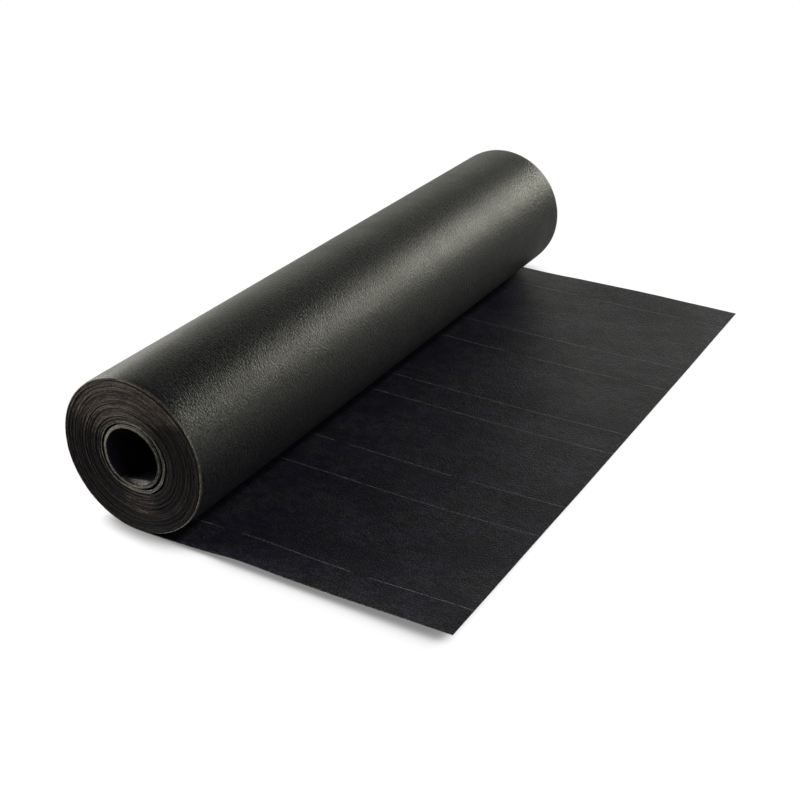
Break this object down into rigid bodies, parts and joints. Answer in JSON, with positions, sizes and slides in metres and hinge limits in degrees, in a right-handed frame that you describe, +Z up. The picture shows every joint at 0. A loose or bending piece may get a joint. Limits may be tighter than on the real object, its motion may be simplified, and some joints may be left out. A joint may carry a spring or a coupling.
{
  "type": "roll of roofing felt",
  "caption": "Roll of black asphalt-saturated roofing felt lying on its side, wound without a core around an open bore, its first stretch unrolled flat on the floor.",
  "frame": {"origin": "on the floor, at the middle of the whole object's footprint", "axes": "+Y along the roll's axis, +X from the roll towards the free sheet's cut edge, +Z up"},
  "size_m": [0.496, 0.9144, 0.192],
  "materials": {
    "felt": "satin"
  },
  "bodies": {
    "root": {"roofing_felt": "felt"}
  },
  "joints": []
}
